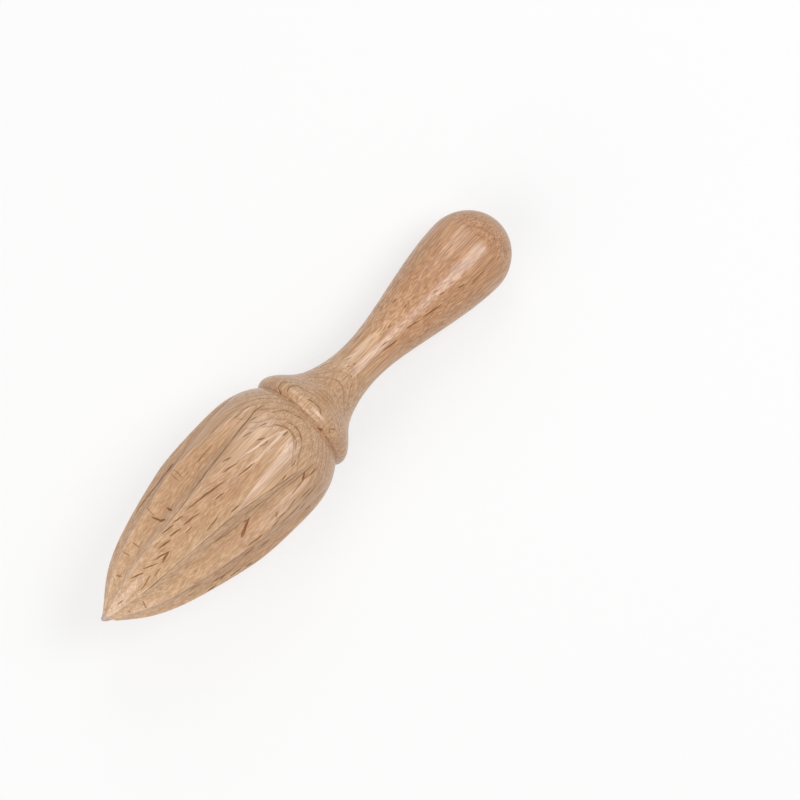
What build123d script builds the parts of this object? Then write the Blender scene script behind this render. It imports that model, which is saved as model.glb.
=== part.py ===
"""Wooden citrus reamer, turned and fluted from one blank of beech.

The outline is drawn along the turning axis with the tip at zero. The flutes
are then cut along the head, and the finished reamer is laid down the way it
lies on a table: on two edges of the head and on the swell of the handle.
"""
from build123d import *
import math
import os

# Overall form in millimetres. A place is a distance along the axis from the tip.
overall_length = 160.0
head_diameter = 38.6
head_widest_at = 56.0

# Round stub at the tip, left where the lathe centre held the blank
stub_diameter = 2.7
stub_length = 1.2
stub_root = 2.0
stub_bevel = 0.25

# Outline of the head, from the stub to the sharp groove behind its shoulder
nose_end_diameter = 2.6
nose_diameter = 16.9
nose_at = 10.0
middle_diameter = 30.0
middle_at = 26.0
merge_diameter = 37.4
merge_at = 44.0
shoulder_diameter = 37.1
shoulder_at = 68.4
groove_diameter = 29.1
groove_at = 76.4

# Bead behind the groove, and the flare that runs from it into the neck
bead_diameter = 31.4
bead_at = 78.6
bead_flank_diameter = 28.9
bead_flank_at = 81.5
flare_diameter = 21.2
flare_at = 86.0
collar_diameter = 15.8
collar_at = 92.0
neck_diameter = 12.9
neck_at = 101.0

# Handle, which swells towards its round end
waist_diameter = 17.2
waist_at = 120.0
grip_diameter = 21.8
grip_at = 132.0
handle_diameter = 25.0
handle_widest_at = 146.5

# Flutes of the head: shallow grooves with two flat walls and a soft bottom
flute_count = 10
flute_wall_angle = 20.0
flute_bottom_radius = 3.5
nose_end_depth = 0.3
nose_depth = 1.7
middle_depth = 2.72
merge_depth = 2.8
widest_depth = 1.65
shoulder_depth = 0.14

# Place near the shoulder where the flutes fade, and the diameter across their valleys there
fading_at = 62.8
fading_diameter = 36.46

# Half width and height of the cutting tool, and how far it starts before the tip
cutter_reach = 9.0
cutter_height = 7.0
cutter_overrun = 3.0

# A quarter ellipse drawn as one curve has its handles at this share of each half axis
ellipse_handle_share = 0.5523

# Angles in degrees, and the steps in which the lying angle settles
QUARTER_TURN = 90.0
FULL_TURN = 360.0
SETTLING_STEPS = 4


def at(place, diameter):
    """Point of the outline at a place along the axis, on a given diameter."""
    return Vector(diameter / 2, 0, place)


def head_outline():
    """Curve from the tip over the head's widest place to the groove."""
    return Spline(
        at(stub_length, nose_end_diameter),
        at(nose_at, nose_diameter),
        at(middle_at, middle_diameter),
        at(merge_at, merge_diameter),
        at(head_widest_at, head_diameter),
        at(shoulder_at, shoulder_diameter),
        at(groove_at, groove_diameter),
    )


def handle_outline():
    """Curve over the bead, down the flare to the neck, and along the handle."""
    return Spline(
        at(groove_at, groove_diameter),
        at(bead_at, bead_diameter),
        at(bead_flank_at, bead_flank_diameter),
        at(flare_at, flare_diameter),
        at(collar_at, collar_diameter),
        at(neck_at, neck_diameter),
        at(waist_at, waist_diameter),
        at(grip_at, grip_diameter),
        at(handle_widest_at, handle_diameter),
    )


def round_end(handle):
    """Quarter ellipse that carries the handle's curve on to the axis."""
    depth = overall_length - handle_widest_at
    level_handle = ellipse_handle_share * handle_diameter
    return Bezier(
        handle @ 1,
        (handle @ 1) + (handle % 1) * (ellipse_handle_share * depth),
        at(overall_length, level_handle),
        at(overall_length, 0),
    )


def turned_blank():
    """The reamer as it leaves the lathe, without its stub."""
    handle = handle_outline()
    nose_end = Line(at(stub_length, 0), at(stub_length, nose_end_diameter))
    axis_line = Line(at(overall_length, 0), at(stub_length, 0))
    outline = [nose_end, head_outline(), handle, round_end(handle), axis_line]
    return revolve(make_face(outline), Axis.Z)


def valley_line():
    """Line that the bottom of the top flute follows, from the tip past the shoulder."""
    tip = at(stub_length, nose_end_diameter - 2 * nose_end_depth)
    nose = at(nose_at, nose_diameter - 2 * nose_depth)
    shoulder_valley = shoulder_diameter - 2 * shoulder_depth
    return Spline(
        tip - (nose - tip).normalized() * cutter_overrun,
        tip,
        nose,
        at(middle_at, middle_diameter - 2 * middle_depth),
        at(merge_at, merge_diameter - 2 * merge_depth),
        at(head_widest_at, head_diameter - 2 * widest_depth),
        at(fading_at, fading_diameter),
        at(shoulder_at, shoulder_valley),
        at(groove_at, shoulder_valley),
    )


def flute_section(line):
    """Wide V with a soft bottom, square to the start of the valley line."""
    rise = cutter_reach * math.tan(math.radians(flute_wall_angle))
    corners = [
        (0, 0),
        (cutter_reach, rise),
        (cutter_reach, cutter_height),
        (-cutter_reach, cutter_height),
        (-cutter_reach, rise),
    ]
    face = make_face(Polyline(*corners, close=True))
    bottom = face.vertices().sort_by(Axis.Y)[0]
    plane = Plane(origin=line @ 0, x_dir=(0, -1, 0), z_dir=line % 0)
    return plane * fillet(bottom, flute_bottom_radius)


def flute_cutter():
    """Solid that cuts the top flute."""
    line = valley_line()
    return sweep(flute_section(line), path=line)


def stub():
    """Short round stub at the tip, with its rim eased."""
    length = stub_length + stub_root
    body = Cylinder(stub_diameter / 2, length, align=(Align.CENTER, Align.CENTER, Align.MIN))
    rim = body.edges().sort_by(Axis.Z)[0]
    return chamfer(rim, stub_bevel)


def fluted_reamer():
    """The whole reamer, standing on its tip along the turning axis."""
    body = turned_blank()
    cutter = flute_cutter()
    for number in range(flute_count):
        body -= Rot(0, 0, number * FULL_TURN / flute_count) * cutter
    return body + stub()


def laid_down(shape, tilt):
    """Shape turned from standing to lying, its tip towards +X and raised by the tilt."""
    return Rot(0, -tilt, 0) * Rot(0, -QUARTER_TURN, 0) * shape


def lying_angle(reamer):
    """Angle at which the head and the handle both touch a level table."""
    size = 2 * overall_length
    behind_neck = Pos(0, 0, neck_at) * Box(
        size, size, size, align=(Align.CENTER, Align.CENTER, Align.MIN)
    )
    handle = reamer & behind_neck
    head = reamer - behind_neck
    span = handle_widest_at - head_widest_at
    tilt = 0.0
    for _ in range(SETTLING_STEPS):
        head_low = laid_down(head, tilt).bounding_box().min.Z
        handle_low = laid_down(handle, tilt).bounding_box().min.Z
        tilt += math.degrees(math.atan2(handle_low - head_low, span))
    return tilt


def resting_reamer():
    """The reamer lying on the table, its middle over the origin."""
    reamer = fluted_reamer()
    tilt = lying_angle(reamer)
    lying = laid_down(reamer, tilt)
    box = lying.bounding_box()
    print("lying angle", round(tilt, 3), "degrees")
    return Pos(-box.center().X, 0, -box.min.Z) * lying


os.makedirs("parts", exist_ok=True)
export_step(resting_reamer(), "parts/reamer.step")
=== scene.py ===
"""Wooden citrus reamer, turned and fluted from one piece of beech.

The reamer lies on a pale floor in soft light and is seen from its tip, as in the
photograph. Its mesh is drawn along the turning axis: the tip is at zero, Z runs
towards the handle, and X points out of the flute that lies on top.
"""

import logging
import math
from dataclasses import dataclass, field
from enum import Enum
from functools import cached_property
from typing import Any, Callable, Sequence

import bpy
import numpy as np
from mathutils import Matrix, Vector, noise


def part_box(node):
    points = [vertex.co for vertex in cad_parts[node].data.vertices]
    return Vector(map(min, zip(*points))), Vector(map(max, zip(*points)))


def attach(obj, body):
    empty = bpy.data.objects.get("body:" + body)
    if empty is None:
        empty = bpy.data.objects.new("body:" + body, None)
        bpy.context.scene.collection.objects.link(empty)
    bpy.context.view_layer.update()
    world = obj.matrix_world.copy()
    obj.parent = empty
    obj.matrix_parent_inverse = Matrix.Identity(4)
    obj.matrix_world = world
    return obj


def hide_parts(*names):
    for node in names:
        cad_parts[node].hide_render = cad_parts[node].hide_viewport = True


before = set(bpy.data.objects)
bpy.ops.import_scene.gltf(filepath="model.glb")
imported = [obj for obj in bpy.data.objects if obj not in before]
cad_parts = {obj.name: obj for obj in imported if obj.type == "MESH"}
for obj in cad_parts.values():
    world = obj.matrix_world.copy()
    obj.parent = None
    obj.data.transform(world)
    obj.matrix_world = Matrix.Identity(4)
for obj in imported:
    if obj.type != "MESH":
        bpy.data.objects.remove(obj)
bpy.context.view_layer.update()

MM = 0.001
log = logging.getLogger("reamer")

Colour = tuple[float, float, float]
WHITE: Colour = (1.0, 1.0, 1.0)


class Arithmetic(Enum):
    """Sums that a shader does on two or three terms."""

    ADD = "ADD"
    SUBTRACT = "SUBTRACT"
    MULTIPLY = "MULTIPLY"
    DIVIDE = "DIVIDE"
    TIMES_PLUS = "MULTIPLY_ADD"
    SMALLER = "MINIMUM"
    LARGER = "MAXIMUM"
    AZIMUTH = "ARCTAN2"


def both_ways(kind: Arithmetic) -> tuple[Callable[..., "Signal"], Callable[..., "Signal"]]:
    """Operators for one sum.

    Args:
        kind: the sum.

    Returns:
        One with the other term after the signal, and one with it before.
    """
    return (
        lambda signal, other: signal.joined(kind, signal, other),
        lambda signal, other: signal.joined(kind, other, signal),
    )


class Signal:
    """Output of a shader node. Each sum written on it adds a Math or Vector Math node."""

    __add__, __radd__ = both_ways(Arithmetic.ADD)
    __sub__, __rsub__ = both_ways(Arithmetic.SUBTRACT)
    __mul__, __rmul__ = both_ways(Arithmetic.MULTIPLY)
    __truediv__, __rtruediv__ = both_ways(Arithmetic.DIVIDE)

    def __init__(self, graph: "Graph", socket: bpy.types.NodeSocket) -> None:
        """Wraps one output socket of the graph."""
        self.graph = graph
        self.socket = socket

    def joined(self, kind: Arithmetic, *terms: "Term") -> "Signal":
        """Adds the node for one sum of these terms, in their order."""
        maths = "ShaderNodeVectorMath" if self.socket.type == "VECTOR" else "ShaderNodeMath"
        return self.graph.output(maths, dict(enumerate(terms)), operation=kind.value)

    def times_plus(self, factor: "Term", addend: "Term") -> "Signal":
        """Product with a factor, plus an addend."""
        return self.joined(Arithmetic.TIMES_PLUS, self, factor, addend)

    def or_smaller(self, other: "Term") -> "Signal":
        """The smaller of this and another term."""
        return self.joined(Arithmetic.SMALLER, self, other)

    def or_larger(self, other: "Term") -> "Signal":
        """The larger of this and another term."""
        return self.joined(Arithmetic.LARGER, self, other)


Term = Signal | float | Sequence[float]
Key = int | str


class Blend(Enum):
    """Ways to lay one colour over another."""

    COVER = "MIX"
    TINT = "MULTIPLY"


@dataclass(frozen=True)
class Fade:
    """Smooth step of a level, from a base at its start to a top at its end."""

    start: float
    end: float
    top: float = 1.0
    base: float = 0.0


Band = tuple[Fade, Fade]


@dataclass(frozen=True)
class Clouds:
    """Soft random figure: clouds in a millimetre across and along the grain, detail and size."""

    across: float
    along: float
    detail: float = 1.0
    size: float = 1.0


@dataclass(frozen=True)
class Cells:
    """Long bodies scattered through the wood, such as pores or rays.

    The spacings lie across the growth layers, along them and along the grain. The
    reach is half a body's size in spacings, and the share is of the bodies that show.
    """

    spacings: tuple[float, float, float]
    reach: float
    share: float


class Graph:
    """Node tree of one material or world, built in plain calls."""

    def __init__(self, owner: bpy.types.Material | bpy.types.World) -> None:
        """Starts an empty node tree.

        Args:
            owner: the material or the world that gets it.
        """
        owner.use_nodes = True
        self.tree = owner.node_tree
        self.tree.nodes.clear()

    @staticmethod
    def find(sockets: Any, key: Key) -> bpy.types.NodeSocket:
        """Socket with a number or an identifier, or else with a name."""
        same = (socket for socket in sockets if socket.identifier == key)
        return next(same, None) or sockets[key]

    def node(self, kind: str, inputs: dict[Key, Any], **settings: Any) -> bpy.types.Node:
        """Adds a node, sets it, and then fills its sockets.

        Args:
            kind: the node's type.
            inputs: values or signals for its sockets.
            settings: its settings, such as an operation.

        Returns:
            The node.
        """
        node = self.tree.nodes.new(kind)
        for name, setting in settings.items():
            setattr(node, name, setting)
        for key, term in inputs.items():
            socket = self.find(node.inputs, key)
            if isinstance(term, Signal):
                self.tree.links.new(term.socket, socket)
            elif socket.type == "RGBA":
                socket.default_value = (*term, 1.0)
            else:
                socket.default_value = term
        return node

    def signal(self, node: bpy.types.Node, key: Key = 0) -> Signal:
        """One output of a node, ready for sums."""
        return Signal(self, self.find(node.outputs, key))

    def output(self, kind: str, inputs: dict[Key, Any], key: Key = 0, **settings: Any) -> Signal:
        """Output of a new node: its first, unless the key names another."""
        return self.signal(self.node(kind, inputs, **settings), key)

    def step(self, level: Signal, fade: Fade) -> Signal:
        """Smooth step of a level, which starts, ends and rises as the fade says."""
        inputs = dict(enumerate((level, fade.start, fade.end, fade.base, fade.top)))
        return self.output("ShaderNodeMapRange", inputs, interpolation_type="SMOOTHSTEP")

    def band(self, level: Signal, rise: Fade, fall: Fade) -> Signal:
        """Step where a stretch begins, less another step where it ends."""
        return self.step(level, rise) - self.step(level, fall)

    def layered(
        self, colour: Term, layers: Sequence[tuple[Term, Colour]], blend: Blend = Blend.COVER
    ) -> Signal:
        """Colour with other colours laid over it, one after the other.

        Args:
            colour: the colour below them.
            layers: how much of each is laid on, from 0 to 1, and its colour.
            blend: the way in which each is laid on.

        Returns:
            The new colour.
        """
        for amount, tint in layers:
            inputs = {"Factor_Float": amount, "A_Color": colour, "B_Color": tint}
            settings = {"data_type": "RGBA", "blend_type": blend.value}
            colour = self.output("ShaderNodeMix", inputs, "Result_Color", **settings)
        return colour


def smooth_curve(points: Sequence[Sequence[float]], count: int) -> np.ndarray:
    """Smooth curve through a few points, with bends spread evenly between them.

    Args:
        points: places along the axis with their distance from it.
        count: how many points to draw the curve with.

    Returns:
        The curve's points, one row each.
    """
    given = np.array(points)
    steps = np.linalg.norm(np.diff(given, axis=0), axis=1)
    knots = np.concatenate([[0.0], np.cumsum(steps)])
    size = len(knots)
    matrix = np.zeros((size, size))
    wanted = np.zeros((size, 2))
    for row, few in ((0, slice(0, 4)), (size - 1, slice(size - 4, size))):
        matrix[row, row] = 1.0
        for column in range(2):
            cubic = np.polyfit(knots[few] - knots[row], given[few, column], 3)
            wanted[row, column] = cubic[2]
    straight = np.diff(given, axis=0) / steps[:, None]
    for row in range(1, size - 1):
        before, after = steps[row - 1 : row + 1]
        matrix[row, row - 1 : row + 2] = after, 2.0 * (before + after), before
        wanted[row] = 3.0 * (after * straight[row - 1] + before * straight[row])
    slopes = np.linalg.solve(matrix, wanted)
    travel = np.linspace(0.0, knots[-1], count)
    piece = np.clip(np.searchsorted(knots, travel, side="right") - 1, 0, size - 2)
    share = ((travel - knots[piece]) / steps[piece])[:, None]
    step = steps[piece][:, None]
    return (
        (1.0 + 2.0 * share) * (1.0 - share) ** 2 * given[piece]
        + share**2 * (3.0 - 2.0 * share) * given[piece + 1]
        + share * (1.0 - share) ** 2 * step * slopes[piece]
        + share**2 * (share - 1.0) * step * slopes[piece + 1]
    )


def softer_minimum(first: np.ndarray, second: np.ndarray, softness: float) -> np.ndarray:
    """Smaller of two distances, with the edge where they meet rounded off."""
    return 0.5 * (first + second - np.sqrt((first - second) ** 2 + softness**2))


def new_object(name: str, data: Any) -> bpy.types.Object:
    """Puts something into the scene.

    Args:
        name: the new object's name.
        data: its mesh, lamp or camera.

    Returns:
        The object.
    """
    made = bpy.data.objects.new(name, data)
    bpy.context.scene.collection.objects.link(made)
    return made


@dataclass(frozen=True)
class Ring:
    """Ring of the turned outline: its place along the axis and its diameter, in metres."""

    place: float
    diameter: float

    def point(self, depth: float = 0.0) -> tuple[float, float]:
        """Place of the ring and its distance from the axis, less a depth."""
        return self.place, self.diameter / 2 - depth


@dataclass
class Blank:
    """Turned outline of the reamer in metres, with the places measured from the tip."""

    overall_length: float = 0.16
    nose_end: Ring = Ring(0.0012, 0.0026)
    nose: Ring = Ring(0.01, 0.0169)
    middle: Ring = Ring(0.026, 0.03)
    merge: Ring = Ring(0.044, 0.0374)
    widest: Ring = Ring(0.056, 0.0386)
    shoulder: Ring = Ring(0.0684, 0.0371)
    groove: Ring = Ring(0.0764, 0.0291)
    bead: Ring = Ring(0.0786, 0.0314)
    bead_flank: Ring = Ring(0.0815, 0.0289)
    flare: Ring = Ring(0.086, 0.0212)
    collar: Ring = Ring(0.092, 0.0158)
    neck: Ring = Ring(0.101, 0.0129)
    waist: Ring = Ring(0.12, 0.0172)
    grip: Ring = Ring(0.132, 0.0218)
    swell: Ring = Ring(0.1465, 0.025)
    round_end_share: float = 0.5523
    curve_points: int = 3000

    def curve(self, *rings: Ring) -> np.ndarray:
        """Smooth outline through a few rings."""
        return smooth_curve([ring.point() for ring in rings], self.curve_points)

    @cached_property
    def head(self) -> np.ndarray:
        """Curve from the stub over the head to the bottom of the groove."""
        to_middle = (self.nose_end, self.nose, self.middle)
        return self.curve(*to_middle, self.merge, self.widest, self.shoulder, self.groove)

    @cached_property
    def handle(self) -> np.ndarray:
        """Curve from the groove over the bead and the neck to the handle's swell."""
        to_neck = (self.groove, self.bead, self.bead_flank, self.flare, self.collar, self.neck)
        return self.curve(*to_neck, self.waist, self.grip, self.swell)

    def round_end(self) -> np.ndarray:
        """Quarter ellipse from the handle's swell to the axis.

        Returns:
            The curve's points, one row each.
        """
        start = self.handle[-1]
        heading = start - self.handle[-2]
        heading /= np.linalg.norm(heading)
        reach = self.round_end_share * (self.overall_length - self.swell.place)
        second = start + reach * heading
        third = np.array([self.overall_length, self.round_end_share * self.swell.diameter / 2])
        end = np.array([self.overall_length, 0.0])
        share = np.linspace(0.0, 1.0, self.curve_points)[:, None]
        rest = 1.0 - share
        return (
            rest**3 * start
            + 3.0 * rest**2 * share * second
            + 3.0 * rest * share**2 * third
            + share**3 * end
        )


@dataclass
class Cut:
    """Cross-section of the flutes at some places: two walls with a soft bottom between them.

    The valley is the distance from the axis at which the walls would meet, and the
    slope says how steeply they rise from it.
    """

    valley: np.ndarray
    slope: np.ndarray
    bottom_radius: float

    def bottom_centre(self, valley: np.ndarray) -> np.ndarray:
        """Distance from the axis to the centre of the soft bottom's circle."""
        return valley + self.bottom_radius * np.hypot(1.0, self.slope)

    def flat_from(self) -> np.ndarray:
        """Distance from the middle of a flute at which its wall turns flat."""
        return self.bottom_radius * self.slope / np.hypot(1.0, self.slope)

    def surface(self, across: np.ndarray) -> np.ndarray:
        """Distance from the axis to a flute's surface.

        Args:
            across: angle from the middle of the flute, in radians.

        Returns:
            The distance of the wall, or of the soft bottom between the walls.
        """
        sine, cosine = np.sin(across), np.cos(across)
        wall = self.valley / (cosine - self.slope * sine)
        centre = self.bottom_centre(self.valley)
        chord = np.sqrt(np.maximum(self.bottom_radius**2 - (centre * sine) ** 2, 0.0))
        return np.where(wall * sine > self.flat_from(), wall, centre * cosine - chord)

    def edge(self, outline: np.ndarray) -> np.ndarray:
        """Angle from the middle of a flute to its edge.

        Args:
            outline: distance of the blank's surface from the axis.

        Returns:
            The angle in radians, which is 0 where the flute has run out.
        """
        valley = np.minimum(self.valley, outline)
        turn = np.arctan(self.slope)
        on_wall = np.arccos(np.clip(valley * np.cos(turn) / outline, -1.0, 1.0)) - turn
        centre = self.bottom_centre(valley)
        ratio = (outline**2 + centre**2 - self.bottom_radius**2) / (2.0 * outline * centre)
        on_bottom = np.arccos(np.clip(ratio, -1.0, 1.0))
        return np.where(outline * np.sin(on_wall) > self.flat_from(), on_wall, on_bottom)


@dataclass
class Flutes:
    """Ten shallow grooves along the head, with flat walls and a soft bottom."""

    blank: Blank
    count: int = 10
    wall_angle: float = 20.0
    bottom_radius: float = 0.0035
    nose_end_depth: float = 0.0003
    nose_depth: float = 0.0017
    middle_depth: float = 0.00272
    merge_depth: float = 0.0028
    widest_depth: float = 0.00165
    fading: Ring = Ring(0.0628, 0.03646)
    shoulder_depth: float = 0.00014
    overrun: float = 0.003
    lean_at_tip: float = -1.2
    lean_at_shoulder: float = 2.0
    lean_power: float = 2.2
    lean_length: float = 0.063

    @cached_property
    def valley(self) -> np.ndarray:
        """Curve that the bottom of a flute would follow if it were sharp.

        Returns:
            The curve's points, one row each.
        """
        blank = self.blank
        tip = np.array(blank.nose_end.point(self.nose_end_depth))
        nose = np.array(blank.nose.point(self.nose_depth))
        shoulder = blank.shoulder.point(self.shoulder_depth)
        points = (
            tip - (nose - tip) / np.linalg.norm(nose - tip) * self.overrun,
            tip,
            nose,
            blank.middle.point(self.middle_depth),
            blank.merge.point(self.merge_depth),
            blank.widest.point(self.widest_depth),
            self.fading.point(),
            shoulder,
            (blank.groove.place, shoulder[1]),
        )
        return smooth_curve(points, blank.curve_points)

    def half_pitch(self) -> float:
        """Half the angle between two flutes, in radians."""
        return math.pi / self.count

    def lean(self, places: np.ndarray) -> np.ndarray:
        """Angle by which the flutes stand aside from straight lines, in radians."""
        share = np.clip(places / self.lean_length, 0.0, 1.0) ** self.lean_power
        return np.radians(self.lean_at_tip + (self.lean_at_shoulder - self.lean_at_tip) * share)

    def cut(self, places: np.ndarray) -> Cut:
        """Cross-section of the flutes.

        Args:
            places: places along the axis.

        Returns:
            The cross-section there. Behind the groove it lies far outside the blank.
        """
        place, distance = self.valley.T
        outside = 2.0 * self.blank.widest.diameter
        on_head = places < self.blank.groove.place
        valley = np.where(on_head, np.interp(places, place, distance), outside)
        steepness = np.interp(places, place, np.gradient(distance, place))
        slope = math.tan(math.radians(self.wall_angle)) * np.hypot(1.0, steepness)
        return Cut(valley, slope, self.bottom_radius)


@dataclass(frozen=True)
class Mark:
    """One mark on the wood, in millimetres and degrees: mostly natural, though some carry painted
    shade or highlight.
    """

    place: float
    azimuth: float
    length: float
    turn: float = 0.0
    width: float = 0.36


class MarkKind(Enum):
    """Kinds of mark, each with its own colour: natural marks, and pale worn lines that are partly
    painted highlight.
    """

    PORE = "pore"
    STAIN = "stain"
    FLECK = "fleck"
    LINE = "line"
    WORN = "worn_and_glint"


def marks(*rows: tuple[float, ...]) -> tuple[Mark, ...]:
    """Marks with the numbers of these rows."""
    return tuple(Mark(*row) for row in rows)


# Each row holds a mark's place, azimuth, length, turn and width
NEAR_MARKS: dict[MarkKind, tuple[Mark, ...]] = {
    MarkKind.PORE: marks(
        (40.5, -11, 13.2, 10, 0.43), (50, -11, 4.4, 13), (51, -17.5, 2.8, 16, 0.42),
        (61, -5, 3.1, 10, 0.46), (61.5, -9, 2.8, 29), (53, -1, 5.4, 8, 0.42), (43, -1.5, 3.2, 10),
        (33.5, -6, 5.4, 10, 0.42), (28, -9, 3.8, 12), (24, -9, 4.1, 14, 0.42), (27, -16.5, 4.3, 14),
        (31, -15, 2.7, 11, 0.4), (21.5, -2, 4.4, 18, 0.4), (21.5, 3.5, 3.2, -10, 0.34),
        (17.5, -4, 4, 24), (13.5, -9.5, 3.5, 28), (31, 0, 2.4, 7, 0.34), (6, 0, 2, 7),
        (65, -16.5, 2.1, 18, 0.46), (60, -20, 2.8, 18, 0.34), (64.6, -40, 5.6, 8, 0.38),
        (64.5, -26.5, 2.5, 17, 0.34), (67.3, 1.8, 2, 2, 0.62), (65.5, -31, 5.4, -12, 0.34),
        (43, 16, 2.7, -2, 0.44), (36, 12.5, 5.1, -6, 0.3), (63.5, 23.5, 2, -15),
        (58.5, 26, 1.9, -14, 0.34), (42.5, 52.5, 5.4, -1, 0.42), (40.5, 74, 4.3, -7, 0.46),
        (61.5, 52, 3.9, -1, 0.4), (56, 49.5, 3.8, -10, 0.34), (62.8, 55.5, 6.5, -2, 0.38),
        (49.3, 53, 2.7, -5, 0.38), (51.6, 50.5, 3.9, 2, 0.32), (56.2, 57.5, 3.3, -11, 0.32),
        (58.5, 61.5, 2.7, -12, 0.3), (60.7, 77, 2.3, 6, 0.34), (45.7, 77.5, 3.3, -4, 0.34),
        (38.8, 87, 1.9, -7, 0.36), (34.7, 86, 3.8, -5, 0.44), (31, 82.5, 2.2, -11, 0.32),
        (27.1, 87, 2.7, -9, 0.34), (30, 74, 2.7, -16, 0.32), (23.6, 72.5, 3.6, 0, 0.36),
        (36.2, -81.5, 6.8, 7, 0.44), (42.3, -79, 2.8, 4, 0.42), (110, 25.5, 5.2, 6, 0.4),
        (118.5, 24.5, 4, 9, 0.4), (125, 29, 6.1, 8, 0.46), (130, 18, 1.7, 12, 0.42),
        (135.5, 29.5, 2.1, 13), (141, 36.5, 5.7, -7, 0.34), (120, -34, 1.9, 9),
    ),
    MarkKind.STAIN: marks(
        (41.4, 41.6, 3.2, -24, 0.82), (43.4, 37.5, 4.2, -29, 0.64), (43.7, 33.9, 1.2, 1, 0.46),
        (63.5, 39.5, 2.6, -35, 0.66), (28, -40, 2.5, 76, 0.7), (28.5, -31.5, 2.2, 70, 0.95),
        (32, -33, 2.3, 90, 0.75), (76.5, 23.5, 1.6, 54, 0.5),
    ),
    MarkKind.FLECK: marks(
        (51, 47.5, 1.7, -43, 0.5), (10.8, -42.5, 1.8, 77, 0.42), (16.2, -48.5, 2.2, 84),
        (19.4, -43, 2.4, 85), (28.5, -51, 3.4, 95, 0.3), (39.5, -48.5, 3.2, 93, 0.3),
        (40.8, -48, 3.2, 93, 0.3), (10, 43, 2.2, 98, 0.46), (6, 44, 1, 77, 0.34),
    ),
    # Lines: growth arcs and grain lines; the rows along the ridges on either side of the top flute
    # are widened into painted shade along those creases
    MarkKind.LINE: marks(
        (28.5, -19.5, 6.7, -1), (35.5, -20.5, 6.8, -5), (42.5, -23.8, 9.4, -4, 0.6),
        (51.3, -26, 9.5, -3, 0.72), (60.6, -28.9, 10, -7, 0.72), (68, -31, 3.6, -2, 0.5),
        (38.2, 31, 9, 5, 0.32), (48, 28.5, 8.2, 6, 0.32), (57.6, 31.8, 10, 5, 0.32),
        (63.4, 37, 10, 3, 0.44), (65.7, 42.5, 5.2, 5, 0.38), (15.5, 19, 8.1, -3), (23, 18, 8, 0),
        (30.5, 18.5, 8, 1), (38.5, 19.5, 8, 2), (47, 22, 9.7, 9), (57.5, 28, 11.6, 12),
        (31.5, -84.5, 8.2, 9, 0.5), (40.5, -79.5, 8.2, 8, 0.5), (21.5, 68, 5.1, 7),
        (34.5, 69.5, 7.8, 2), (35, 28.5, 8, 1), (54, -47, 6.8, 3), (49, -41, 8.1, 4),
        (61.5, 42, 7.4, -8), (53, 58, 9.6, -3, 0.42), (31.5, 81, 7.8, 0, 0.42),
        (13.8, 9, 4.6, -15, 0.4), (17.6, 9.5, 2.7, -10, 0.4), (22, 2, 2.7, -5, 0.4),
        (67.8, -7, 2.8, 57), (68.8, 0.5, 2.8, 77), (68.6, 8, 2.8, 110), (67.1, 14.5, 3, 141),
        (70.5, -2, 2.4, 68), (70.8, 5.5, 2.4, 97), (70, 12, 2.4, 122), (70.7, -17.5, 3.5, 29),
        (72.9, -11.5, 3, 58), (73.9, -2.5, 3, 78), (79.9, -4.5, 2, 69, 0.45),
        (80.2, 3, 2.2, 90, 0.45), (79.7, 10, 2, 124, 0.45), (76.7, -37, 2.6, -56, 0.45),
        (78.1, -41.5, 1.8, -19, 0.45), (79.7, -41, 2, 30, 0.45), (78.4, -30, 1.8, -21, 0.45),
        (80, -30, 2.1, 13, 0.45), (81.2, -25, 2.4, 74, 0.45), (79.1, 32.5, 2.3, 50, 0.45),
        (78, 31.5, 1.4, -49, 0.45),
    ),
    # Pale lines on the ridges: worn fibres, and partly painted highlight
    MarkKind.WORN: marks(
        (14.5, -20.5, 8.8, 2, 0.5), (58.8, -7, 6.5, 14, 0.55), (28, 18, 13.3, -1, 0.4),
    ),
}


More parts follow.
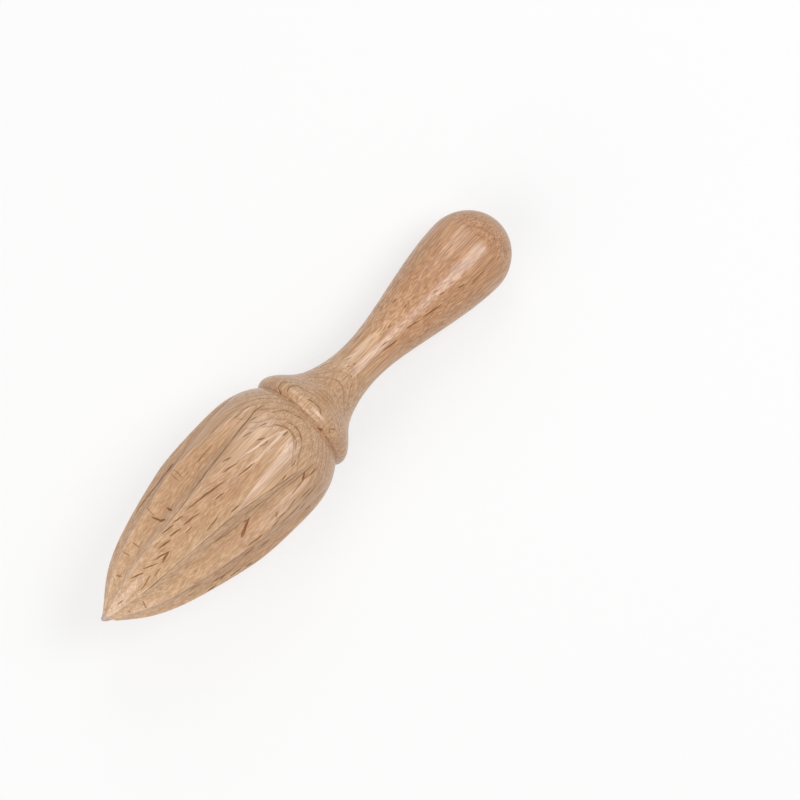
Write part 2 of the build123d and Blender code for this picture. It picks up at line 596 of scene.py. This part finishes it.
@dataclass(frozen=True)
class Beech:
    """Oiled beech. Colours are linear, lengths are in millimetres, and strengths go up to 1."""

    # Ground: two tones in broad clouds, with darker streaks and fibres along the grain
    pale: Colour = (0.668, 0.422, 0.233)
    rosy: Colour = (0.638, 0.382, 0.205)
    deep: Colour = (0.4, 0.2, 0.09)
    broad: Clouds = Clouds(0.09, 0.02, 2.0)
    broad_fade: Fade = Fade(0.35, 0.65)
    streak: Clouds = Clouds(1.4, 0.05, 2.0)
    streak_fade: Fade = Fade(0.36, 0.64, 0.5)
    fibre: Clouds = Clouds(3.2, 0.07)
    fibre_fade: Fade = Fade(0.4, 0.62)
    fibre_rise: Fade = Fade(6.0, 46.0, 0.6, 0.35)
    fibre_on_handle: float = 0.28

    # Paler and darker stretches along the reamer, all painted light and shade: paler towards the
    # tip and on the neck's lit side, the handle shaded and warmed by bounce, and shade in the
    # groove and the flute hollows
    # Painted light: a paler tone where more light falls, towards the tip and on the neck's side
    # that faces the light
    painted_light_tone: Colour = (0.78, 0.535, 0.32)
    nose_painted_light: Fade = Fade(46.0, 18.0, 0.45)
    neck: Band = (Fade(88.0, 98.0), Fade(112.0, 128.0))
    neck_lit_side: Fade = Fade(4.0, -3.0, 0.7)
    # Painted shade and warm bounce light: the handle darker and more orange towards its end
    handle_shade_and_bounce: Colour = (0.95, 0.84, 0.74)
    handle: Fade = Fade(84.0, 124.0)
    # Painted shade: slightly darker, warmer wood in the groove and on the bead's flank towards the
    # tip
    groove_painted_shade: Colour = (1.0, 0.97, 0.94)
    groove: Band = (Fade(75.9, 76.5), Fade(77.9, 78.5))
    # Painted shade: darker, warmer wood deep in the flutes, where less light falls into the hollows
    hollow_painted_shade: Colour = (0.91, 0.83, 0.74)
    hollow_shade_fade: Fade = Fade(0.1, 1.0, 0.6)

    # Growth layers: how they lie and bend, and the heights and strengths of their lines
    layer_line: Colour = (0.28, 0.13, 0.055)
    layer_azimuth: float = 2.0
    layer_bend: float = 70.0
    layer_rise: float = 0.075
    layer_curl: float = 0.035
    curl_limit: float = 0.02
    shoulder: Band = (Fade(60.0, 66.0), Fade(74.0, 80.0))
    wave: Clouds = Clouds(0.13, 0.028, size=0.9)
    ripple: Clouds = Clouds(0.7, 0.09, size=0.22)
    layer_fade: float = 0.3
    layer_stop: float = 0.12
    layer_heights: tuple[tuple[float, float], ...] = (
        (0.2, 0.5), (1.4, 0.9), (2.9, 0.4), (4.15, 0.8), (5.0, 0.9), (6.3, 0.8), (7.75, 0.8),
        (9.0, 0.6), (10.45, 0.7), (12.3, 0.9), (13.2, 1.0),
    )
    collar: Band = (Fade(60.0, 66.0, 1.0, 0.22), Fade(92.0, 104.0, 0.55))
    broken: Clouds = Clouds(0.35, 0.07)
    broken_fade: Fade = Fade(0.38, 0.6, 1.0, 0.5)
    layer_strength: float = 0.97
    bead: Band = (Fade(76.0, 77.5), Fade(79.5, 82.0))
    bead_calm: float = 0.55

    # Scattered bodies, most of them on the side with no marks of its own
    far_side: Fade = Fade(11.0, -3.0, 1.0, 0.38)
    sheets: Cells = Cells((0.22, 1.7, 13.0), 0.33, 0.45)
    rays: Cells = Cells((1.1, 0.4, 6.0), 0.35, 0.4)
    specks: Cells = Cells((0.6, 0.32, 8.0), 0.34, 0.5)
    sheet_strength: float = 0.7
    ray_strength: float = 0.42
    speck_strength: float = 0.32
    body_core: float = 0.45

    # Marks on the near side; the lines along the ridges beside the top flute also carry painted
    # shade
    pore: Colour = (0.185, 0.07, 0.016)
    stain: Colour = (0.27, 0.1, 0.03)
    fleck: Colour = (0.3, 0.14, 0.06)
    line: Colour = (0.26, 0.12, 0.045)
    pore_strength: float = 0.84
    stain_strength: float = 0.95
    fleck_strength: float = 0.75
    line_strength: float = 0.78
    mark_reach: float = 0.6
    mark_breadth: float = 0.58
    mark_core: float = 0.45
    drift: Clouds = Clouds(0.45, 0.3, size=0.6)
    sway: Clouds = Clouds(0.6, 0.35, size=0.03)

    # Lines round the groove with their places and strengths, partly painted shade and highlight;
    # worn edges that are partly painted highlight; and the torn tip
    # Pale tone of worn fibres, also used as painted highlight on the ridges and at the groove
    worn_and_glint_tone: Colour = (0.75, 0.53, 0.38)
    # The dark line at 76.4 is painted shade in the groove's bottom and the pale line at 75.85 a
    # painted highlight on the shoulder's edge; the line at 75.3 is a lathe line
    rings: tuple[tuple[float, float, Colour], ...] = (
        (75.3, 0.38, layer_line), (76.4, 0.38, layer_line), (75.85, 0.35, worn_and_glint_tone),
    )
    ring_width: float = 0.5
    # Pale patches along the ridges: worn fibres, partly painted highlight
    worn_and_glint: Clouds = Clouds(0.5, 0.12)
    worn_and_glint_fade: Fade = Fade(0.42, 0.6, 0.38)
    rubbed_and_glint_strength: float = 0.55
    # Torn end grain at the tip, made paler and greyer partly as a painted highlight on its flat end
    end_grain_and_glint: Colour = (0.52, 0.405, 0.345)
    torn: Clouds = Clouds(1.8, 1.2, size=3.0)
    torn_fade: Fade = Fade(1.6, 1.1)

    # Rough wood under a film of oil, which is thinner over fibres, marks and torn wood
    wood_roughness: float = 0.6
    film_roughness: float = 0.28
    film_index: float = 1.8
    film_off_fibre: float = 0.25
    film_off_marks: float = 0.55
    film_off_torn: float = 0.5
    bump_depth: float = 0.02
    bump_strength: float = 0.5
    fibre_relief: float = 0.5
    ray_relief: float = 0.4


@dataclass
class Reamer:
    """The reamer's one piece: its mesh, its wood and its place on the floor."""

    blank: Blank = field(default_factory=Blank)
    wood: Beech = Beech()
    lying_angle: float = 4.535
    collar: tuple[float, float] = (0.066, 0.094)
    spacings: tuple[float, float, float] = (0.0004, 0.0002, 0.0009)
    columns_in_flute: int = 12
    columns_beside_flute: int = 8
    edge_limits: tuple[float, float] = (1.2, 16.4)
    evening_out: tuple[float, float] = (0.069, 0.0735)
    edge_softness: float = 0.00013
    ridge_width: float = 0.00028
    tip_radius: float = 0.00085
    tip_inner: float = 0.4
    tip_bevel: float = 0.0002
    tip_eased: float = 0.3
    tip_beyond: float = 0.5
    tip_flare: float = 0.45
    tip_rounding: float = 260.0
    tip_depth: float = 0.0028
    tip_slant: float = 0.85
    tip_slant_from: float = -0.0002
    crumb_size: float = 0.0005
    crumb_height: float = 0.00012
    crumb_lift: float = 0.6
    unevenness: float = 0.00003
    swell_size: tuple[float, float, float] = (0.006, 0.006, 0.014)

    def __post_init__(self) -> None:
        """Prepares the flutes on the same blank."""
        self.flutes = Flutes(self.blank)
        self.lying = Matrix.Identity(4)

    def spaced(self, curve: np.ndarray) -> np.ndarray:
        """Points of a curve at the spacings before the collar, in it and behind it.

        Args:
            curve: a finely drawn curve.

        Returns:
            Fewer points, with the same first and last.
        """
        steps = np.linalg.norm(np.diff(curve, axis=0), axis=1)
        middle = 0.5 * (curve[1:, 0] + curve[:-1, 0])
        spacing = np.array(self.spacings)[np.digitize(middle, self.collar)]
        counted = np.concatenate([[0.0], np.cumsum(steps / spacing)])
        wanted = np.linspace(0.0, counted[-1], int(round(counted[-1])) + 1)
        return np.column_stack([np.interp(wanted, counted, column) for column in curve.T])

    def rings(self) -> np.ndarray:
        """Rings of the turned outline.

        Returns:
            Their places along the axis and their distances from it.
        """
        blank = self.blank
        head, handle, end = map(self.spaced, (blank.head, blank.handle, blank.round_end()))
        return np.vstack([head, handle[1:], end[1:-1]])

    def offsets(self, places: np.ndarray, edge: np.ndarray) -> np.ndarray:
        """Angles of the columns across one flute, from its middle.

        Args:
            places: places of the rings along the axis.
            edge: angle from the middle to the flute's edge on each ring, in radians.

        Returns:
            One row of angles for each ring, closer together near the edge.
        """
        half_pitch = self.flutes.half_pitch()
        edge = np.clip(edge, *np.radians(self.edge_limits))
        columns = self.columns_in_flute + self.columns_beside_flute
        even = half_pitch * self.columns_in_flute / columns
        share = np.interp(places, self.evening_out, (0.0, 1.0))
        edge = edge + (even - edge) * share * share * (3.0 - 2.0 * share)
        share = np.linspace(0.0, 1.0, self.columns_in_flute + 1)
        eased_in = 0.5 * (share + np.sin(share * math.pi / 2))
        share = np.linspace(0.0, 1.0, self.columns_beside_flute + 1)[1:]
        eased_out = 0.5 * (share + 1.0 - np.cos(share * math.pi / 2))
        half = np.hstack([edge * eased_in, edge + (half_pitch - edge) * eased_out])
        return np.hstack([-half[:, :0:-1], half[:, :-1]])

    def radius(self, place: float, azimuth: float) -> float:
        """Distance from the axis to the surface.

        Args:
            place: place along the axis, in metres.
            azimuth: azimuth in degrees.

        Returns:
            The distance in metres.
        """
        outline = np.vstack([self.blank.head, self.blank.handle[1:]])
        distance = float(np.interp(place, *outline.T))
        if place < self.blank.shoulder.place:
            half_pitch = self.flutes.half_pitch()
            places = np.array([place])
            offset = math.radians(azimuth) - self.flutes.lean(places) + half_pitch
            across = np.abs(offset % (2.0 * half_pitch) - half_pitch)
            distance = min(distance, float(self.flutes.cut(places).surface(across)[0]))
        return distance

    def tip_rings(self) -> list[tuple[float, float]]:
        """Rings of the blunt tip, ahead of the turned outline.

        Returns:
            Their places along the axis and their distances from it.
        """
        radius, bevel = self.tip_radius, self.tip_bevel
        eased = self.tip_eased * bevel
        rim = [(0.0, self.tip_inner * radius), (0.0, radius - bevel), (eased, radius - eased)]
        beyond = self.tip_beyond * self.blank.nose_end.place
        return rim + [(place, radius + self.tip_flare * place) for place in (bevel, beyond)]

    def points(self) -> tuple[np.ndarray, np.ndarray, np.ndarray]:
        """Every point of the mesh but the two at its ends, on rings and columns.

        Returns:
            The points in metres, how deep each lies in a flute, and how near it is
            to an edge, both from 0 to 1.
        """
        flutes = self.flutes
        pitch = 2.0 * flutes.half_pitch()
        places, radii = np.hsplit(self.rings(), 2)
        cut = flutes.cut(places)
        edge = np.clip(cut.edge(radii), 0.0, flutes.half_pitch())
        offset = self.offsets(places, edge)
        across = np.abs(offset)
        on_head = places < self.blank.groove.place
        section = cut.surface(across)
        for other in (cut.surface(pitch - across), radii):
            section = softer_minimum(section, other, self.edge_softness)
        aside = (across - edge) * radii / self.ridge_width
        ridge = np.where(on_head & (edge > 0.0), np.exp(-(aside**2)), 0.0)
        beyond = np.maximum(places - self.blank.nose_end.place, 0.0)
        cone = self.tip_radius + self.tip_flare * places - self.tip_rounding * beyond**2
        cone = np.where(places < self.blank.nose.place, cone, 0.0)
        section = np.where(on_head, section, radii)
        section = -softer_minimum(-section, -cone, self.edge_softness)
        hollow = section.max(axis=1, keepdims=True) - section
        hollow = np.clip(hollow / flutes.merge_depth, 0.0, 1.0)
        turned = [offset + number * pitch for number in range(flutes.count)]
        tip = np.array(self.tip_rings())
        before = ((len(tip), 0), (0, 0))
        azimuths = np.pad(np.hstack(turned) + flutes.lean(places), before, "edge")
        blunt = np.ones((1, azimuths.shape[1]))
        places = np.vstack([tip[:, :1], places]) * blunt
        distances = np.vstack([tip[:, 1:] * blunt, np.tile(section, flutes.count)])
        x, y = distances * np.cos(azimuths), distances * np.sin(azimuths)
        levels = (np.pad(np.tile(level, flutes.count), before) for level in (hollow, ridge))
        return np.dstack([x, y, places]), *levels

    def roughened(self, points: np.ndarray) -> np.ndarray:
        """Points with the slanted, torn tip and the slight unevenness of hand sanding.

        Args:
            points: the points of the even surface.

        Returns:
            The moved points.
        """
        moved = points.copy()
        fade = np.clip(1.0 - points[:, 2] / self.tip_depth, 0.0, 1.0)
        slant = np.maximum(points[:, 1] - self.tip_slant_from, 0.0) * self.tip_slant
        moved[:, 2] += slant * fade
        scaled = points / self.swell_size
        for row, point in enumerate(points):
            swell = self.unevenness * noise.noise(Vector(scaled[row]))
            moved[row, :2] *= 1.0 + swell / max(math.hypot(*point[:2]), MM)
            if fade[row] > 0.0:
                crumb = noise.noise(Vector(point) / self.crumb_size)
                moved[row, 2] += self.crumb_height * fade[row] * (crumb + self.crumb_lift)
        return moved

    def faces(self, rings: int, columns: int) -> list[tuple[int, ...]]:
        """Faces between the rings, and a fan at each end.

        Args:
            rings: number of rings.
            columns: number of points in a ring.

        Returns:
            The corners of each face, in the order that makes it face outwards.
        """
        faces: list[tuple[int, ...]] = []
        last = (rings - 1) * columns
        for low in range(0, last, columns):
            for column in range(columns):
                here, after = low + column, low + (column + 1) % columns
                faces.append((here, after, after + columns, here + columns))
        tip = rings * columns
        for column in range(columns):
            after = (column + 1) % columns
            faces += [(tip, after, column), (tip + 1, last + column, last + after)]
        return faces

    def mesh(self) -> bpy.types.Mesh:
        """Closed mesh of the whole reamer, standing on its tip.

        Returns:
            The mesh, with the levels that its material reads.
        """
        points, hollow, ridge = self.points()
        rings, columns = hollow.shape
        moved = self.roughened(points.reshape(-1, 3))
        ends = [moved[:columns].mean(axis=0), (0.0, 0.0, self.blank.overall_length)]
        mesh = bpy.data.meshes.new("reamer_wood")
        mesh.from_pydata(np.vstack([moved, ends]).tolist(), [], self.faces(rings, columns))
        mesh.polygons.foreach_set("use_smooth", [True] * len(mesh.polygons))
        for name, levels in (("hollow", hollow), ("ridge", ridge)):
            attribute = mesh.attributes.new(name, "FLOAT", "POINT")
            attribute.data.foreach_set("value", [*levels.flat, 0.0, 0.0])
        mesh.update()
        return mesh

    def lie_down(self, mesh: bpy.types.Mesh) -> Matrix:
        """Where the reamer lies: on two edges of its head and on its handle.

        Args:
            mesh: the mesh, standing on its tip.

        Returns:
            The matrix that lays it down inside the box of the CAD node.
        """
        turned = Matrix.Rotation(-math.pi / 2 - math.radians(self.lying_angle), 4, "Y")
        lowest = np.min([turned @ vertex.co for vertex in mesh.vertices], axis=0)
        shift = np.array(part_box("reamer")[0]) - lowest
        return Matrix.Translation((shift[0], 0.0, shift[2])) @ turned

    def build(self) -> None:
        mesh = self.mesh()
        self.lying = self.lie_down(mesh)
        mesh.transform(self.lying)
        mesh.materials.append(WoodShader(self.wood, self).material())
        reamer = new_object("reamer_wood", mesh)
        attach(reamer, "root")
        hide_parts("reamer")
        log.info("reamer: %d points, %d faces", len(mesh.vertices), len(mesh.polygons))


class WoodShader:
    """Builds the beech material, with its growth layers, pores and marks."""

    def __init__(self, wood: Beech, reamer: Reamer) -> None:
        """Starts an empty material, and finds out where in the wood each place lies.

        Args:
            wood: the finish.
            reamer: the reamer that it goes on.
        """
        self.wood = wood
        self.reamer = reamer
        self.built = bpy.data.materials.new("beech_oiled")
        self.graph = Graph(self.built)
        self.place = self.own_place()
        split = self.graph.node("ShaderNodeSeparateXYZ", {"Vector": self.place})
        self.x, self.y, self.grain = (self.graph.signal(split, number) for number in range(3))
        self.height, self.along = self.growth()
        self.skin = self.on_skin()

    def own_place(self) -> Signal:
        """Place in the wood, along the reamer's own axes.

        Returns:
            The place in millimetres.
        """
        inputs = {
            "Vector": self.graph.output("ShaderNodeTexCoord", {}, "Object"),
            "Location": self.reamer.lying.translation,
            "Rotation": self.reamer.lying.to_euler(),
            "Scale": (MM, MM, MM),
        }
        return self.graph.output("ShaderNodeMapping", inputs, vector_type="TEXTURE")

    def clouds(self, clouds: Clouds) -> Signal:
        """Soft random level around one half."""
        scaled = {"Vector": self.place * (clouds.across, clouds.across, clouds.along), "Scale": 1.0}
        return self.graph.output("ShaderNodeTexNoise", {**scaled, "Detail": clouds.detail})

    def shift(self, clouds: Clouds) -> Signal:
        """Soft random shift to either side of zero, as large as the clouds' size."""
        return (self.clouds(clouds) - 0.5) * clouds.size

    def patches(self, clouds: Clouds, fade: Fade) -> Signal:
        """Soft random patches, where the clouds pass through a fade."""
        return self.graph.step(self.clouds(clouds), fade)

    def stretch(self, *band: Fade) -> Signal:
        """Step at a place along the grain, or a stretch between two of them."""
        shape = self.graph.band if len(band) > 1 else self.graph.step
        return shape(self.grain, *band)

    def growth(self) -> tuple[Signal, Signal]:
        """Place in the wood as its growth lies.

        Returns:
            The height across the growth layers, and the distance along a layer
            square to the grain.
        """
        wood = self.wood
        turn = math.radians(wood.layer_azimuth)
        across = self.x * math.cos(turn) + self.y * math.sin(turn)
        along = self.y * math.cos(turn) - self.x * math.sin(turn)
        square = along * along
        curl = square / (square * wood.curl_limit + 1.0) * self.stretch(*wood.shoulder)
        bend = square * (0.5 / wood.layer_bend) - curl * wood.layer_curl
        waves = self.shift(wood.wave) + self.shift(wood.ripple)
        return across + bend - self.grain * wood.layer_rise + waves, along

    def layers(self) -> Signal:
        """Darkness of the growth layers' lines.

        Returns:
            The darkness from 0 to 1, strongest round the shoulder and the flare.
        """
        wood = self.wood
        darkness: Term = 0.0
        for middle, strength in wood.layer_heights:
            rise = Fade(middle - wood.layer_fade, middle, strength)
            fall = Fade(middle, middle + wood.layer_stop, strength)
            darkness = self.graph.band(self.height, rise, fall) + darkness
        darkness = darkness * self.stretch(*wood.collar)
        return darkness * self.patches(wood.broken, wood.broken_fade)

    def scattered(self, cells: Cells) -> Signal:
        """Long bodies scattered through the wood.

        Args:
            cells: their spacings, their size and how many show.

        Returns:
            One inside a body, and zero outside it.
        """
        graph, core = self.graph, self.wood.body_core
        parts = zip((self.height, self.along, self.grain), cells.spacings)
        scaled = dict(enumerate(part * (1.0 / spacing) for part, spacing in parts))
        inputs = {"Vector": graph.output("ShaderNodeCombineXYZ", scaled), "Scale": 1.0}
        cell = graph.node("ShaderNodeTexVoronoi", inputs)
        body = graph.step(graph.signal(cell, "Distance"), Fade(cells.reach, core * cells.reach))
        chance = graph.output("ShaderNodeSeparateColor", {0: graph.signal(cell, "Color")})
        return body * graph.step(chance, Fade(1.0 - cells.share, 1.0 - core * cells.share))

    def on_skin(self) -> tuple[Signal, Signal]:
        """Place on the reamer's skin, slightly warped so that no mark is quite straight.

        Returns:
            The distance along the grain in millimetres and the azimuth in radians.
        """
        azimuth = self.y.joined(Arithmetic.AZIMUTH, self.y, self.x)
        return self.grain + self.shift(self.wood.drift), azimuth + self.shift(self.wood.sway)

    def marks(self, kind: MarkKind) -> Signal:
        """Marks of one kind on the side that the photograph shows.

        Args:
            kind: the kind of mark.

        Returns:
            One inside a mark, and zero outside it.
        """
        grain, azimuth = self.skin
        nearest: Signal | None = None
        for mark in NEAR_MARKS[kind]:
            turned = math.radians(mark.azimuth)
            radius = self.reamer.radius(mark.place * MM, mark.azimuth) / MM
            cosine, sine = math.cos(math.radians(mark.turn)), math.sin(math.radians(mark.turn))
            distance: Term = 0.0
            for by_grain, by_azimuth, half in (
                (cosine, sine * radius, self.wood.mark_reach * mark.length),
                (-sine, cosine * radius, self.wood.mark_breadth * mark.width),
            ):
                start = -(mark.place * by_grain + turned * by_azimuth) / half
                offset = grain.times_plus(by_grain / half, start)
                offset = azimuth.times_plus(by_azimuth / half, offset)
                distance = offset.times_plus(offset, distance)
            nearest = distance if nearest is None else nearest.or_smaller(distance)
        return self.graph.step(nearest, Fade(1.0, self.wood.mark_core))

    def ring(self, place: float) -> Signal:
        """Fine line round the reamer at a place in millimetres, used for a lathe line and for the
        painted shade and highlight at the groove.
        """
        half = self.wood.ring_width / 2
        return self.stretch(Fade(place - half, place), Fade(place, place + half))

    def level(self, name: str) -> Signal:
        """Level that the mesh carries under a name."""
        return self.graph.output("ShaderNodeAttribute", {}, "Fac", attribute_name=name)

    def material(self) -> bpy.types.Material:
        """Joins everything into the finished material.

        Returns:
            The material.
        """
        wood, graph = self.wood, self.graph
        pores, stains, flecks, lines, rubbed_and_glint = map(self.marks, MarkKind)
        far_side = graph.step(self.height, wood.far_side)
        sheets = self.scattered(wood.sheets) * far_side
        rays = self.scattered(wood.rays) * far_side
        fibre = self.clouds(wood.fibre)
        figure = graph.step(fibre, wood.fibre_fade)
        on_handle = self.stretch(wood.handle)
        fibres = figure * (self.stretch(wood.fibre_rise) + on_handle * wood.fibre_on_handle)
        on_layers = wood.layer_strength - self.stretch(*wood.bead) * wood.bead_calm
        # Painted light on the side of the neck that faces the light
        neck = self.stretch(*wood.neck) * graph.step(self.along, wood.neck_lit_side)
        # Pale ridge lines: worn fibres, and partly painted highlight
        worn_and_glint = self.level("ridge") * self.patches(wood.worn_and_glint, wood.worn_and_glint_fade)
        torn = graph.step(self.grain + self.shift(wood.torn), wood.torn_fade)
        ground = (
            (self.patches(wood.broad, wood.broad_fade), wood.rosy),
            # Painted light: paler towards the tip and on the neck's lit side
            (self.stretch(wood.nose_painted_light), wood.painted_light_tone),
            (neck, wood.painted_light_tone),
            (self.patches(wood.streak, wood.streak_fade), wood.deep),
            (fibres, wood.deep),
            (self.layers() * on_layers, wood.layer_line),
            (self.scattered(wood.specks) * wood.speck_strength, wood.pore),
            (rays * wood.ray_strength, wood.pore),
            # Grain lines, with painted shade along the ridges beside the top flute
            (lines * wood.line_strength, wood.line),
            (flecks * wood.fleck_strength, wood.fleck),
            (stains * wood.stain_strength, wood.stain),
            ((sheets * wood.sheet_strength).or_larger(pores * wood.pore_strength), wood.pore),
        )
        # Painted shade: the handle shaded and warmed by bounce light, and the groove darkened
        tints = ((on_handle, wood.handle_shade_and_bounce), (self.stretch(*wood.groove), wood.groove_painted_shade))
        # Lines round the groove: one lathe line, painted shade in its bottom and a painted
        # highlight on the shoulder's edge
        rings = [(self.ring(place) * strength, tint) for place, strength, tint in wood.rings]
        # Painted shade in the flute hollows, set by how deep each point lies
        hollow = ((graph.step(self.level("hollow"), wood.hollow_shade_fade), wood.hollow_painted_shade),)
        # Pale worn ridges, partly painted highlight, and the torn tip, paler partly as a painted
        # highlight
        wear_and_glint = (
            (worn_and_glint.or_larger(rubbed_and_glint * wood.rubbed_and_glint_strength), wood.worn_and_glint_tone),
            (torn, wood.end_grain_and_glint),
        )
        colour = graph.layered(wood.pale, ground)
        colour = graph.layered(colour, tints, Blend.TINT)
        colour = graph.layered(colour, rings)
        colour = graph.layered(colour, hollow, Blend.TINT)
        colour = graph.layered(colour, wear_and_glint)
        dull = pores.or_larger(stains).or_larger(lines).or_larger(flecks).or_larger(sheets)
        film = 1.0 - figure * wood.film_off_fibre - dull * wood.film_off_marks
        bump = {
            "Strength": wood.bump_strength,
            "Distance": wood.bump_depth * MM,
            "Height": fibre * wood.fibre_relief - sheets - rays * wood.ray_relief,
        }
        finish = {
            "Base Color": colour,
            "Roughness": wood.wood_roughness,
            "Normal": graph.output("ShaderNodeBump", bump),
            "Specular IOR Level": 0.0,
            "Coat Weight": film - torn * wood.film_off_torn,
            "Coat Roughness": wood.film_roughness,
            "Coat IOR": wood.film_index,
        }
        surface = graph.output("ShaderNodeBsdfPrincipled", finish)
        graph.node("ShaderNodeOutputMaterial", {"Surface": surface})
        return self.built


@dataclass(frozen=True)
class SoftLamp:
    """Soft rectangular lamp that faces the reamer. Lengths are in metres, power in watts."""

    name: str
    direction: tuple[float, float, float]
    distance: float
    length: float
    width: float
    power: float


@dataclass
class Studio:
    """Pale floor, soft lamps and the camera at the photograph's viewing angle."""

    aim_place: float = 0.08
    camera_distance: float = 0.9
    pitch: float = 16.5
    azimuth: float = 4.0
    axis_angle: float = 45.2
    lens: float = 147.5
    sensor: float = 36.0
    picture_size: float = 800.0
    aim_pixel: tuple[float, float] = (305.4, 417.6)
    floor_size: float = 6.0
    floor_colour: Colour = (0.94, 0.94, 0.94)
    floor_lift: Fade = Fade(0.1, 0.34, 1.0, 0.64)
    world_light: float = 0.36
    lamps: tuple[SoftLamp, ...] = (
        SoftLamp("key_lamp", (-0.36, 0.28, 0.89), 0.6, 0.38, 0.3, 1.4),
        SoftLamp("side_lamp", (-0.45, -0.58, 0.68), 0.6, 0.28, 0.38, 0.6),
        SoftLamp("fill_lamp", (0.82, -0.05, 0.57), 1.0, 0.9, 0.9, 5.2),
    )

    def camera(self, lying: Matrix, aim: Vector) -> None:
        """Sets up the camera, which sees one point at its pixel of the photograph.

        Args:
            lying: how the reamer lies.
            aim: the point.
        """
        top, side, handle = (lying.to_3x3().col[number].copy() for number in range(3))
        pitch, azimuth, angle = map(math.radians, (self.pitch, self.azimuth, self.axis_angle))
        level = math.cos(azimuth) * top + math.sin(azimuth) * side
        towards = math.cos(pitch) * level - math.sin(pitch) * handle
        along = (handle - handle.dot(towards) * towards).normalized()
        beside = along.cross(towards)
        right = math.cos(angle) * along + math.sin(angle) * beside
        up = math.sin(angle) * along - math.cos(angle) * beside
        focal_pixels = self.lens / self.sensor * self.picture_size
        middle = self.picture_size / 2
        ray = Vector((self.aim_pixel[0] - middle, middle - self.aim_pixel[1], -focal_pixels))
        swing = ray.rotation_difference(Vector((0.0, 0.0, -1.0))).to_matrix()
        matrix = (Matrix((right, up, towards)).transposed() @ swing).to_4x4()
        matrix.translation = aim + self.camera_distance * towards
        data = bpy.data.cameras.new("view")
        data.lens = self.lens
        data.sensor_width = self.sensor
        camera = new_object("view", data)
        camera.matrix_world = matrix
        bpy.context.scene.camera = camera
        log.info("camera: %.0f mm lens", self.lens)

    def lamp(self, lamp: SoftLamp, middle: Vector) -> None:
        """Hangs one soft lamp, facing the reamer.

        Args:
            lamp: the lamp's sizes.
            middle: the point that it faces.
        """
        data = bpy.data.lights.new(lamp.name, "AREA")
        data.shape = "RECTANGLE"
        data.size = lamp.length
        data.size_y = lamp.width
        data.energy = lamp.power
        direction = Vector(lamp.direction).normalized()
        beside = direction.cross(Vector((1.0, 0.0, 0.0))).normalized()
        turned = Matrix((beside.cross(direction), beside, direction)).transposed()
        spot = middle + lamp.distance * direction
        hung = new_object(lamp.name, data)
        hung.matrix_world = Matrix.LocRotScale(spot, turned.to_quaternion(), None)
        log.info("%s: %.1f W", lamp.name, lamp.power)

    def seen_directly(self, graph: Graph) -> Signal:
        """Tells rays that look at a surface from rays that only light it.

        Args:
            graph: the graph that asks.

        Returns:
            One for rays from the camera, from gloss and through glass, and else zero.
        """
        path = graph.node("ShaderNodeLightPath", {})
        kinds = ("Camera", "Glossy", "Transmission")
        camera, glossy, through = (graph.signal(path, f"Is {kind} Ray") for kind in kinds)
        return camera.or_larger(glossy).or_larger(through)

    def world(self) -> None:
        """White surroundings that light the reamer evenly."""
        world = bpy.data.worlds.new("pale_studio")
        bpy.context.scene.world = world
        graph = Graph(world)
        strength = self.world_light + self.seen_directly(graph) * (1.0 - self.world_light)
        light = graph.output("ShaderNodeBackground", {"Color": WHITE, "Strength": strength})
        graph.node("ShaderNodeOutputWorld", {"Surface": light})

    def floor(self) -> None:
        """Pale floor that fades to white and keeps the reamer's shadow."""
        half = self.floor_size / 2
        corners = [(-half, -half, 0.0), (half, -half, 0.0), (half, half, 0.0), (-half, half, 0.0)]
        mesh = bpy.data.meshes.new("floor")
        mesh.from_pydata(corners, [], [(0, 1, 2, 3)])
        material = bpy.data.materials.new("pale_floor")
        graph = Graph(material)
        matt = graph.output("ShaderNodeBsdfDiffuse", {"Color": self.floor_colour})
        glow = graph.output("ShaderNodeEmission", {"Color": WHITE, "Strength": 1.0})
        spot = graph.output("ShaderNodeTexCoord", {}, "Object")
        length = graph.output("ShaderNodeVectorMath", {0: spot}, "Value", operation="LENGTH")
        lifted = self.seen_directly(graph) * graph.step(length, self.floor_lift)
        surface = graph.output("ShaderNodeMixShader", {0: lifted, 1: matt, 2: glow})
        graph.node("ShaderNodeOutputMaterial", {"Surface": surface})
        mesh.materials.append(material)
        new_object("floor", mesh)

    def build(self, lying: Matrix) -> None:
        """Sets up the whole studio round the reamer.

        Args:
            lying: how the reamer lies.
        """
        aim = lying @ Vector((0.0, 0.0, self.aim_place))
        self.camera(lying, aim)
        for lamp in self.lamps:
            self.lamp(lamp, aim)
        self.world()
        self.floor()
        bpy.context.scene.view_settings.view_transform = "Standard"


def main() -> None:
    """Builds the reamer and its studio."""
    logging.basicConfig(level=logging.INFO, format="%(name)s: %(message)s")
    reamer = Reamer()
    reamer.build()
    Studio().build(reamer.lying)


if __name__ == "__main__":
    main()
